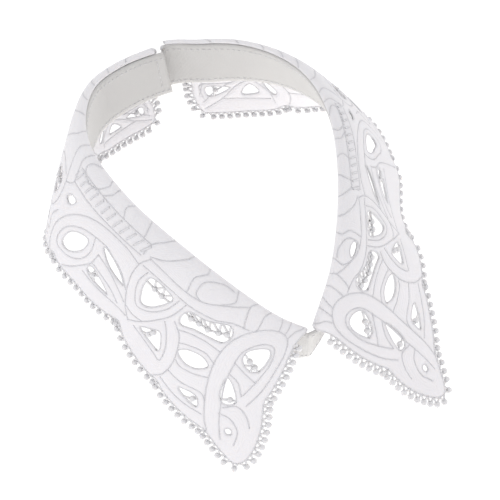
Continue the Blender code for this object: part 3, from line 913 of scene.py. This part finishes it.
def lace_sheet(side, holes, cords, border):
    """The grid cut by the outlines, then a wall of half each way along the normals, with
    half = thin part + padding (1 - exp(-distance to a cord / reach))."""
    shares = np.linspace(*SHEET_SHARES, GRID_ALONG + 1)
    drops = np.linspace(*SHEET_DROPS, GRID_DOWN + 1)
    place = np.stack(np.meshgrid(shares, drops, indexing="ij"), -1).reshape(-1, 2)
    spots = flat(place)
    fold = np.array(((border[-1, 0], FOLD_DROP), (border[0, 0], FOLD_DROP)))
    cloth = outline_distance(spots, flat(np.concatenate([border, fold])))
    for hole in holes:
        cloth = np.minimum(cloth, -outline_distance(spots, flat(hole)))
    number = np.arange(len(place)).reshape(GRID_ALONG + 1, GRID_DOWN + 1)
    a, b, c, d = number[:-1, :-1], number[1:, :-1], number[1:, 1:], number[:-1, 1:]
    triangles = np.stack([a, b, c, a, c, d], -1).reshape(-1, 3)
    place, triangles = cut_sheet(place, cloth, triangles)
    lines = [flat(curve) for curve in holes + cords + [border]]
    away, along = nearest_cord(flat(place), lines)
    point, normal = leaf_place(side, place)
    half = LACE_HALF_WALL + PADDING * (1 - np.exp(-away / PADDING_REACH))[:, None]
    first, second, third = point[triangles[0]]
    if np.cross(second - first, third - first) @ normal[triangles[0, 0]] < 0:
        triangles = triangles[:, ::-1]
    points, faces = close_wall(point + normal * half, point - normal * half, triangles)
    uv = np.tile(np.stack([along, away], -1), (2, 1))
    return points, faces, uv


def cord_along(side, curve, closed, size):
    """A tube on the leaf's face, along a curve of share and drop."""
    point, normal = leaf_place(side, curve)
    return tube(point, normal, *size, CORD_SIDES, closed)


lace, border_of = {}, {}
for side in ("right", "left"):
    holes, cords, border = pattern_curves(side)
    border_of[side] = border
    lace[side] = new_piece("lace_" + side, lace_sheet(side, holes, cords, border), LACE)
    rungs, shade_gaps = (
        [on_leaf(side, round_curve(points, False, CORD_STEP)) for points in lines]
        for lines in (LADDER, LADDER_SHADE_GAPS)
    )
    edging = [cord_along(side, hole, True, EDGE_CORD) for hole in holes]
    edging += [cord_along(side, rung, False, RUNG_CORD) for rung in rungs]
    edging.append(cord_along(side, border, False, EDGE_CORD))
    # these take the darker finish, painted shade in the grooves between tapes and between rungs
    between = [cord_along(side, cord, False, LINE_CORD) for cord in cords]
    between += [cord_along(side, gap, False, GAP_SHADE_CORD) for gap in shade_gaps]
    cord_pieces = (
        new_piece("cords_" + side, join(edging), CORD),
        new_piece("seam_cords_" + side, join(between), SEAM_CORD_SHADED),
    )
    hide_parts("leaf_" + side)

# %% [markdown]
# Picots are the small knots that stand off the edge of needle lace, each on a V of
# thread. One thread runs in a zigzag from the border out to each knot and back. The
# same knots hang on short bars in some of the open places.

# %% Picots round the border, and bars in the open places
PICOT_PITCH, PICOT_OUT, PICOT_ROOT = 3.6, 2.8, 0.2
PICOT_SIZE = np.array((1.5, 1.6, 1.4))
BAR_SIZE = np.array((1.45, 1.5, 1.35))
THREAD_HALF, THREAD_SIDES, THREAD_STEPS = 0.55, 5, 4
PICOT_FIRST_DROP = 0.24         # above this the leaf's ends are plain
BARS = (
    ((8.9, 51.5, 0), (10.4, 49.8, 1), (12.2, 47.8, 1), (14.2, 45, 0)),
    ((10.4, 53.4, 0), (11, 50.2, 0), (12.6, 51.4, 0)),
    ((8.2, 70, 0), (9.4, 71.2, 1), (10.8, 74, 0)),
    ((13.4, 80.4, 0), (13.9, 82.6, 1), (15.2, 85.2, 0)),
    (
        (18.7, 41.5, 0), (19.7, 40.4, 1), (20.9, 43, 1), (22.6, 45.6, 1), (24.4, 46.4, 1),
        (26, 47.6, 1), (27.6, 47, 0),
    ),
    (
        (20.4, 34.6, 0), (19.8, 39, 0), (21.9, 37, 0), (21.2, 42, 0), (23.4, 40, 0), (22.8, 45, 0),
        (25, 42.6, 0), (24.6, 46, 0), (27, 44.2, 0), (26.2, 47, 0),
    ),
    ((30.9, 49.4, 0), (32.7, 49.6, 1), (34.6, 49.2, 1), (36.9, 48.6, 0)),
    ((31.6, 44.6, 0), (32.6, 49, 0), (33.6, 43.6, 0), (34.6, 48.6, 0), (35.8, 43.4, 0)),
    ((28.9, 71.4, 0), (27.8, 71.8, 1), (28, 75, 1), (29, 77.4, 0)),
    ((46.6, 70.6, 0), (48.2, 72.8, 1), (49.9, 74.6, 0)),
    ((48.2, 69.4, 0), (48.3, 72.6, 0), (47.4, 76, 0)),
    ((65.2, 52, 0), (66.6, 52.4, 1), (68, 52.4, 1), (69.5, 52, 0)),
    ((74.2, 52, 0), (75.8, 52, 1), (77.2, 51.6, 1), (78.6, 51, 0)),
    ((95.4, 74.4, 0), (95.2, 77.4, 1), (95.8, 80.8, 0)),
    ((88.8, 53, 0), (90.2, 53.4, 1), (91.6, 53, 1), (93.1, 52.4, 0)),
)


def bar_shapes(side, bar):
    """A thread through the bar's points, and a knot on each point marked 1."""
    bar = np.array(bar, float)
    path = on_leaf(side, round_curve(bar[:, :2], False, CORD_STEP / 2))
    point, normal = leaf_place(side, path)
    shapes = [tube(point, normal, THREAD_HALF, THREAD_HALF, THREAD_SIDES, False)]
    marked = bar[bar[:, 2] == 1, :2] / 100
    if len(marked):
        centre, facing = leaf_place(side, on_leaf(side, marked))
        ahead, _ = leaf_place(side, on_leaf(side, marked + np.array((NEAR, 0.0))))
        first = unit(np.cross(facing, np.cross(ahead - centre, facing)))
        frames = np.stack([first, np.cross(facing, first), facing], 1)
        shapes.append(knots(centre, frames, BAR_SIZE))
    return shapes


def picot_edging(side, border):
    """A zigzag thread off the border, with a knot at each of its outer turns."""
    path = border[border[:, 1] > PICOT_FIRST_DROP]
    point, normal = leaf_place(side, path)
    run = np.concatenate([[0], np.cumsum(np.linalg.norm(np.diff(point, axis=0), axis=1))])
    count = int(run[-1] / PICOT_PITCH)
    at = np.linspace(0, run[-1], 2 * count + 1)
    share = np.interp(at, run, path[:, 0])
    drop = np.interp(at, run, path[:, 1])
    root, facing = leaf_place(side, np.stack([share, drop], -1))
    along = unit(np.gradient(root, axis=0))
    out = unit(np.cross(facing, along)) * FACING[side]
    reach = np.where(np.arange(len(at)) % 2 == 1, PICOT_OUT, -PICOT_ROOT)[:, None]
    zigzag = root + out * reach
    fine = np.linspace(0, len(at) - 1, (len(at) - 1) * THREAD_STEPS + 1)
    whole = np.arange(len(at))
    thread = np.stack([np.interp(fine, whole, zigzag[:, k]) for k in range(3)], -1)
    lift = np.stack([np.interp(fine, whole, facing[:, k]) for k in range(3)], -1)
    frames = np.stack([along[1::2], out[1::2], facing[1::2]], 1)
    return [
        tube(thread, lift, THREAD_HALF, THREAD_HALF, THREAD_SIDES, False),
        knots(zigzag[1::2], frames, PICOT_SIZE),
    ]


for side in ("right", "left"):
    bars = new_piece(
        "bars_" + side, join([shape for bar in BARS for shape in bar_shapes(side, bar)]), PICOT
    )
    new_piece("picots_" + side, join(picot_edging(side, border_of[side])), PICOT)
    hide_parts("picot_edge_" + side)

# %% [markdown]
# The neck band is a strip of cotton folded double, so its edges are round. Its
# section is a flat loop with half circles for ends, and it runs from the inner end at
# the centre back, all the way round, to the outer end that laps over it.

# %% The neck band
BAND_STEPS, BAND_SIDE_STEPS, BAND_ROUND_STEPS = 420, 14, 4
BAND_RISE = 1.2     # the cloth goes up to meet the lace at the fold
BAND_LENGTH = 424.0


def band_course(count):
    """Share, shift and drop of the band's top edge at even steps from end to end."""
    travelled = np.linspace(0.0, INNER_END + 2.0 - OUTER_END, count + 1)
    on_right = travelled <= INNER_END
    share = np.where(on_right, INNER_END - travelled, INNER_END + 2.0 - travelled)
    shift = np.where(on_right, inner_layer_shift(share), outer_layer_shift(share))
    lowered = LAP_OUTER_DROP * ramp((LAP_DROP_START - share) / LAP_DROP_RAMP)
    return share, shift, np.where(on_right, 0.0, lowered)


def band_profile():
    """Round the section: down its outer face, round the bottom, up and round the top.
    The first column is 0 at the top and 1 at the bottom, the second is across."""
    turn = np.linspace(-np.pi / 2, np.pi / 2, BAND_ROUND_STEPS + 1)[1:-1]
    face = np.linspace(0, 1, BAND_SIDE_STEPS + 1)
    ones = np.ones(face.size)
    down = np.concatenate([face, 1 + 0 * turn, face[::-1], 0 * turn])
    bulge = np.concatenate([0 * face, np.cos(turn), 0 * face, -np.cos(turn)])
    across = np.concatenate([ones, -np.sin(turn), -ones, np.sin(turn)])
    return down, bulge, across


def band_shape():
    """The section's loop at every step of the course, joined, with its two ends closed."""
    share, shift, drop = band_course(BAND_STEPS)
    down, bulge, across = band_profile()
    half = BAND_WALL / 2
    top = drop[:, None] - BAND_RISE * (1 - drop[:, None] / LAP_OUTER_DROP)
    depth = top + half + (BAND_HEIGHT - half - top - half) * down[None] + bulge[None] * half
    shares = np.repeat(share[:, None], down.size, 1)
    points = band_face(shares, depth, shift[:, None] + across[None] * half)
    count, sides = shares.shape
    i, j = np.meshgrid(np.arange(count - 1), np.arange(sides), indexing="ij")
    beside = (j + 1) % sides
    corners = (i * sides + j, (i + 1) * sides + j, (i + 1) * sides + beside, i * sides + beside)
    faces = [
        np.stack(corners, -1).reshape(-1, 4),
        np.arange(sides)[None],
        (np.arange(sides) + (count - 1) * sides)[None, ::-1],
    ]
    run = np.linspace(0, BAND_LENGTH, count)
    uv = np.stack([np.repeat(run, sides), depth.ravel()], -1)
    return points.reshape(-1, 3), faces, uv


band = new_piece("band_cloth", band_shape(), COTTON_SHADED)
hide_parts("neck_band")

# %% [markdown]
# Top stitching holds the band's two layers together: one row near its lower edge, one
# near the fold, and one across each end. Each stitch is a short thread that rises a
# little out of the cloth.

# %% Stitches
STITCH_PITCH, STITCH_LENGTH, STITCH_HALF = 2.6, 1.9, 0.17
STITCH_LIFT, STITCH_SINK, STITCH_STEPS, STITCH_SIDES = 0.06, 0.25, 4, 5
LOW_ROW, TOP_ROW = 2.2, 1.6                 # from the lower edge, and below the fold
END_ROW_PLACES = (4, -5)                    # steps of the band in from each end
END_ROW_TOP, END_ROW_LOW, END_ROW_STEPS = 2.4, 3.0, 12


def stitch_shapes(share, down, shift, face):
    """One thread from each even place to a stitch's length on, on the given face."""
    path = band_face(share, down, shift + face * (BAND_WALL / 2 + STITCH_LIFT))
    normal = band_face(share, down, shift + face) - band_face(share, down, shift)
    run = np.concatenate([[0], np.cumsum(np.linalg.norm(np.diff(path, axis=0), axis=1))])
    count = int(run[-1] / STITCH_PITCH)
    shapes = []
    for number in range(count):
        at = (number + 0.5) * STITCH_PITCH + np.linspace(-0.5, 0.5, STITCH_STEPS) * STITCH_LENGTH
        piece = np.stack([np.interp(at, run, path[:, k]) for k in range(3)], -1)
        lift = np.stack([np.interp(at, run, normal[:, k]) for k in range(3)], -1)
        sink = np.array((STITCH_SINK, 0.0, 0.0, STITCH_SINK))[:, None] * unit(lift)
        shapes.append(tube(piece - sink, lift, STITCH_HALF, STITCH_HALF, STITCH_SIDES, False))
    return shapes


share, shift, drop = band_course(BAND_STEPS)
rows = []
for face in (-1.0, 1.0):
    rows += stitch_shapes(share, 0 * share + BAND_HEIGHT - LOW_ROW, shift, face)
    rows += stitch_shapes(share, drop + TOP_ROW, shift, face)
    for end in END_ROW_PLACES:
        column = np.linspace(drop[end] + END_ROW_TOP, BAND_HEIGHT - END_ROW_LOW, END_ROW_STEPS)
        rows += stitch_shapes(0 * column + share[end], column, 0 * column + shift[end], face)
stitches = new_piece("band_stitches", join(rows), CORD)

# %% [markdown]
# The two fastening tapes lie inside the lap at the centre back. Their solids are
# right as they are, so they only get a finish.

# %% Fastening tapes
for node in ("hook_tape", "loop_tape"):
    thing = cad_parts[node]
    thing.data.materials.clear()
    thing.data.materials.append(TAPE)
print("tapes finished")

# %% [markdown]

# %% [markdown]
# A plain pale floor well below the collar, a white room and three soft lights: one
# from the wearer's right that models the cords, a wider one from the other side, and
# a small warm one under the neck that shows the inside of the lace at the back.

# %% Floor, lights and background
FLOOR_BELOW, FLOOR_HALF, FLOOR_GREY, FLOOR_GLOW = 0.28, 4.0, 0.97, 0.2
WHITE = (1.0, 1.0, 1.0)
WARM = (1.0, 0.97, 0.9)
ROOM_STRENGTH = 0.92
lowest = cad_box[0][2] - FLOOR_BELOW
floor_mesh = bpy.data.meshes.new("floor")
corners = [(x * FLOOR_HALF, y * FLOOR_HALF, lowest) for x, y in ((-1, -1), (1, -1), (1, 1), (-1, 1))]
floor_mesh.from_pydata(corners, [], [(0, 1, 2, 3)])
floor_finish = bpy.data.materials.new("pale_floor")
floor_finish.use_nodes = True
floor_shader = floor_finish.node_tree.nodes["Principled BSDF"]
for label, value in (
    ("Base Color", (FLOOR_GREY, FLOOR_GREY, FLOOR_GREY, 1.0)),
    ("Roughness", 1.0),
    ("Specular IOR Level", 0.0),
    ("Emission Color", (*WHITE, 1.0)),
    ("Emission Strength", FLOOR_GLOW),
):
    floor_shader.inputs[label].default_value = value
floor_mesh.materials.append(floor_finish)
floor = bpy.data.objects.new("floor", floor_mesh)
bpy.context.scene.collection.objects.link(floor)


def soft_light(name, place, size, power, tint=WHITE):
    """A disk of light at a place, turned to face the middle of the collar."""
    lamp = bpy.data.objects.new(name, bpy.data.lights.new(name, "AREA"))
    lamp.data.shape, lamp.data.size, lamp.data.energy = "DISK", size, power
    lamp.data.color = tint
    lamp.visible_camera = False
    away = unit(np.array(place))
    sideways = unit(np.cross((0.0, 0.0, 1.0), away))
    pose = np.eye(4)
    pose[:3] = np.stack([sideways, np.cross(away, sideways), away, place], -1)
    lamp.matrix_world = Matrix(pose.tolist())
    bpy.context.scene.collection.objects.link(lamp)


soft_light("key_light", (-1.4, -0.3, 0.7), 0.6, 2.8)
soft_light("fill_light", (1.5, -0.4, 0.5), 1.2, 1.4)
soft_light("bounce_light", (0.0, 0.01, -0.355), 0.15, 0.8, WARM)
world = bpy.data.worlds.new("white_room")
world.use_nodes = True
backdrop = world.node_tree.nodes["Background"]
backdrop.inputs["Color"].default_value = (*WHITE, 1.0)
backdrop.inputs["Strength"].default_value = ROOM_STRENGTH
bpy.context.scene.world = world
bpy.context.scene.view_settings.view_transform = "Standard"
print("floor at", round(lowest, 3))
